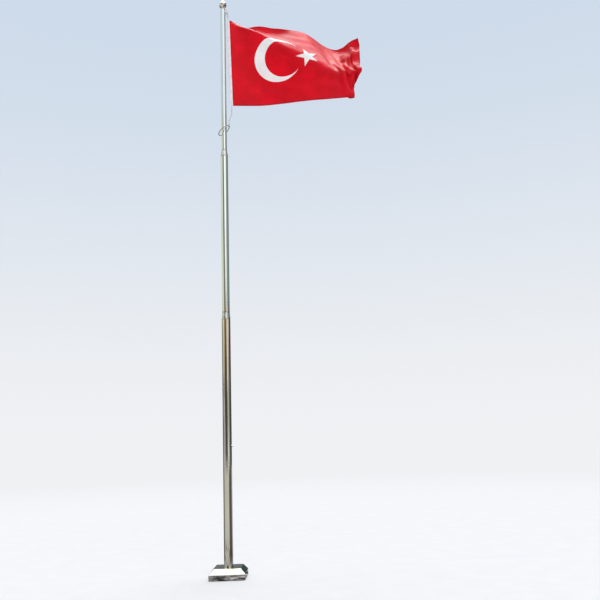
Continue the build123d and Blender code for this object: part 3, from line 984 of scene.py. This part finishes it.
# ---------------------------------------------------------------- studio
# What polished steel shows of its surroundings: colours by bearing in degrees from the front
# (-Y), to +X positive, in belts of elevation, and the belts' borders in degrees.
WALLS_LOW = (
    (-180, (96, 98, 104)),
    (-112, (110, 110, 112)),
    (-100, (226, 214, 224)),
    (-50, (214, 204, 210)),
    (-40, (74, 72, 58)),
    (14, (84, 78, 62)),
    (24, (254, 254, 248)),
    (64, (252, 252, 246)),
    (76, (84, 98, 90)),
    (180, (62, 78, 76)),
)
LOW_TO_MID = (4, 7)
WALLS_MID = (
    (-180, (122, 124, 128)),
    (-108, (120, 130, 115)),
    (-94, (226, 222, 186)),
    (-48, (230, 220, 182)),
    (-38, (124, 98, 72)),
    (8, (118, 92, 70)),
    (18, (248, 224, 206)),
    (70, (250, 230, 214)),
    (80, (84, 82, 88)),
    (130, (62, 74, 76)),
    (180, (62, 78, 78)),
)
TREE_TOPS = (7, 11)
MID_TO_HIGH = (10.5, 12.5)
WALLS_HIGH = (
    (-180, (150, 160, 156)),
    (-120, (228, 238, 226)),
    (-58, (232, 240, 228)),
    (-48, (112, 110, 84)),
    (-22, (122, 118, 92)),
    (-12, (188, 198, 202)),
    (46, (188, 198, 202)),
    (60, (152, 168, 160)),
    (120, (120, 138, 138)),
    (180, (84, 98, 104)),
)
HIGH_TO_TOP = (26, 30)
WALLS_TOP = (
    (-180, (140, 152, 166)),
    (-130, (204, 226, 244)),
    (-34, (218, 234, 244)),
    (-18, (138, 164, 182)),
    (2, (144, 168, 186)),
    (14, (148, 166, 184)),
    (40, (150, 166, 182)),
    (60, (222, 228, 234)),
    (74, (226, 232, 238)),
    (92, (128, 140, 156)),
    (180, (92, 104, 122)),
)
TOP_TO_SKY = (48, 60)
# painted reflection: the ground that the floor glows with for glossy rays alone, so that the steel
# shows it, by bearing from the mast
WALLS_FLOOR = (
    (-180, (92, 94, 98)),
    (-100, (98, 100, 102)),
    (-86, (204, 202, 188)),
    (28, (214, 210, 194)),
    (44, (98, 90, 88)),
    (106, (84, 82, 86)),
    (124, (204, 190, 196)),
    (180, (150, 142, 148)),
)
FLOOR_STREAKS = (
    (0.40, (50, 48, 52)),
    (0.47, (188, 184, 186)),
    (0.52, (70, 66, 70)),
    (0.58, (230, 226, 226)),
)


def make_world():
    """Plain light for the surfaces, a pale backdrop for the camera, and for polished
    metal a surrounding with light and dark walls, as it needs to read as metal."""
    world = bpy.data.worlds.new("studio")
    bpy.context.scene.world = world
    world.use_nodes = True
    n = Nodes(world.node_tree)
    direction = n.add("ShaderNodeTexCoord").outputs["Generated"]
    x, y, z = n.split(direction)
    height = n.math("DEGREES", n.math("ARCSINE", z))
    low, high = linear(*BACKDROP_LOW), linear(*BACKDROP_HIGH)
    backdrop = n.mix(n.between(height, *BACKDROP_RISE), low, high)
    # the walls' borders wander a little, as things outdoors do
    bend = n.minus(n.noise(n.stretch(direction, (3, 3, 1.2)), 1.6, 3.0), 0.5)
    around = n.plus(n.bearing(x, y), n.times(bend, 9.0))
    level = n.plus(height, n.times(bend, 5.0))
    low, middle = n.walls(around, WALLS_LOW), n.walls(around, WALLS_MID)
    mirror = n.mix(n.between(level, *LOW_TO_MID), low, middle)
    # trees and railings along the horizon, as broken streaks
    trees = n.between(n.noise(n.stretch(direction, (2, 2, 13)), 1.0, 4.0, 0.6), 0.47, 0.54)
    trees = n.times(trees, n.between(level, *TREE_TOPS, 0.6, 0.0))
    mirror = n.mix(trees, mirror, linear(48, 52, 36))
    mirror = n.mix(n.between(level, *MID_TO_HIGH), mirror, n.walls(around, WALLS_HIGH))
    mirror = n.mix(n.between(level, *HIGH_TO_TOP), mirror, n.walls(around, WALLS_TOP))
    mirror = n.mix(n.between(height, *TOP_TO_SKY), mirror, linear(252, 253, 253))
    rays = n.add("ShaderNodeLightPath").outputs
    colour = n.mix(rays["Is Glossy Ray"], linear(188, 190, 194), mirror)
    colour = n.mix(rays["Is Camera Ray"], colour, backdrop)
    # the mirrored sky overhead is brighter than white paint
    overhead = n.times(rays["Is Glossy Ray"], n.between(height, *TOP_TO_SKY))
    strength = n.plus(1.0, n.times(overhead, 0.5))
    background = n.add("ShaderNodeBackground", Color=colour, Strength=strength)
    n.show(background, "ShaderNodeOutputWorld")


def painted_ground_reflection(n, place):
    """Painted reflection of ground, for polished steel alone: darker, by bearing, with long streaks
    near the foot.
    """
    x, y, _ = n.split(place)
    distance = n.length(place)
    drift = n.noise(n.stretch(place, (1.4, 1.4, 1)), 1.0, 4.0)
    around = n.plus(n.bearing(x, y), n.times(n.minus(drift, 0.5), 40.0))
    patch = n.times(n.between(drift, 0.50, 0.56), n.between(distance, 2, 5, 0.8, 0.0))
    ground = n.mix(patch, n.walls(around, WALLS_FLOOR), linear(70, 58, 46))
    swirl = n.noise(n.stretch(place, (4, 5, 1)), 1.0, 4.0)
    streaks = n.ramp(swirl, [(at, linear(*colour)) for at, colour in FLOOR_STREAKS])
    return n.mix(n.between(distance, 0.9, 1.6, 1, 0), ground, streaks)


def make_floor():
    """Plain pale floor, which fades into the backdrop far behind, and which glows for glossy rays with
    a painted reflection of ground.
    """
    radius, sides = 60, 96
    material = bpy.data.materials.new("floor_paint")
    material.use_nodes = True
    n = Nodes(material.node_tree)
    place = n.place()
    tone = n.mix(n.noise(place, 3.0, 4.0), linear(216, 217, 219), linear(224, 225, 227))
    paint = n.add("ShaderNodeBsdfPrincipled", Base_Color=tone, Roughness=0.9)
    haze = n.add("ShaderNodeEmission", Color=linear(*BACKDROP_LOW), Strength=1.0)
    # painted reflection: the floor emits this ground to glossy rays only
    reflection_glow = n.add("ShaderNodeEmission", Color=painted_ground_reflection(n, place), Strength=1.0)
    rays = n.add("ShaderNodeLightPath").outputs
    far = n.between(n.length(place), 9.0, 30.0)
    seen = n.mix_shader(n.times(far, rays["Is Camera Ray"]), paint, haze)
    n.show(n.mix_shader(rays["Is Glossy Ray"], seen, reflection_glow))
    mesh = bpy.data.meshes.new("studio_floor")
    turns = [tau * k / sides for k in range(sides)]
    mesh.from_pydata([(radius * cos(a), radius * sin(a), 0) for a in turns], [], [tuple(range(sides))])
    mesh.materials.append(material)
    floor = bpy.data.objects.new("studio_floor", mesh)
    bpy.context.scene.collection.objects.link(floor)


def sun(name, bearing, elevation, strength, spread):
    """Soft sun that stands at a bearing and an elevation, all in degrees but its strength."""
    data = bpy.data.lights.new(name, "SUN")
    data.energy = strength
    data.angle = radians(spread)
    light = bpy.data.objects.new(name, data)
    b, e = radians(bearing), radians(elevation)
    towards = Vector((sin(b) * cos(e), -cos(b) * cos(e), sin(e)))
    light.rotation_euler = towards.to_track_quat("Z", "Y").to_euler()
    bpy.context.scene.collection.objects.link(light)


def make_camera():
    """Stands at eye height in front of the mast and looks up at it."""
    eye = (0.946, -8.872, 1.560)
    heading, pitch, roll = -0.39, 12.36, -2.01
    data = bpy.data.cameras.new("camera")
    data.lens = 40.14
    data.sensor_width = 36
    camera = bpy.data.objects.new("camera", data)
    turn = Matrix.Rotation(radians(heading), 4, "Z") @ Matrix.Rotation(radians(90 + pitch), 4, "X")
    turn = turn @ Matrix.Rotation(radians(roll), 4, "Z")
    camera.matrix_world = Matrix.Translation(eye) @ turn
    bpy.context.scene.collection.objects.link(camera)
    bpy.context.scene.camera = camera


# ---------------------------------------------------------------- the scene
dress_frame()
yarn = rope_yarn("rope")
make_drop(yarn, make_halyard(yarn))
make_tail(yarn)
make_tab("top_becket", 1, yarn)
make_tab("foot_becket", -1, yarn)
sleeve = make_heading(canvas("heading_cloth"))
cloth = make_cloth(bunting("flag_red"))
make_world()
make_floor()
sun("high_light", bearing=165, elevation=74, strength=2.1, spread=35)
sun("front_light", bearing=20, elevation=42, strength=0.6, spread=60)
make_camera()
bpy.context.scene.view_settings.view_transform = "Standard"
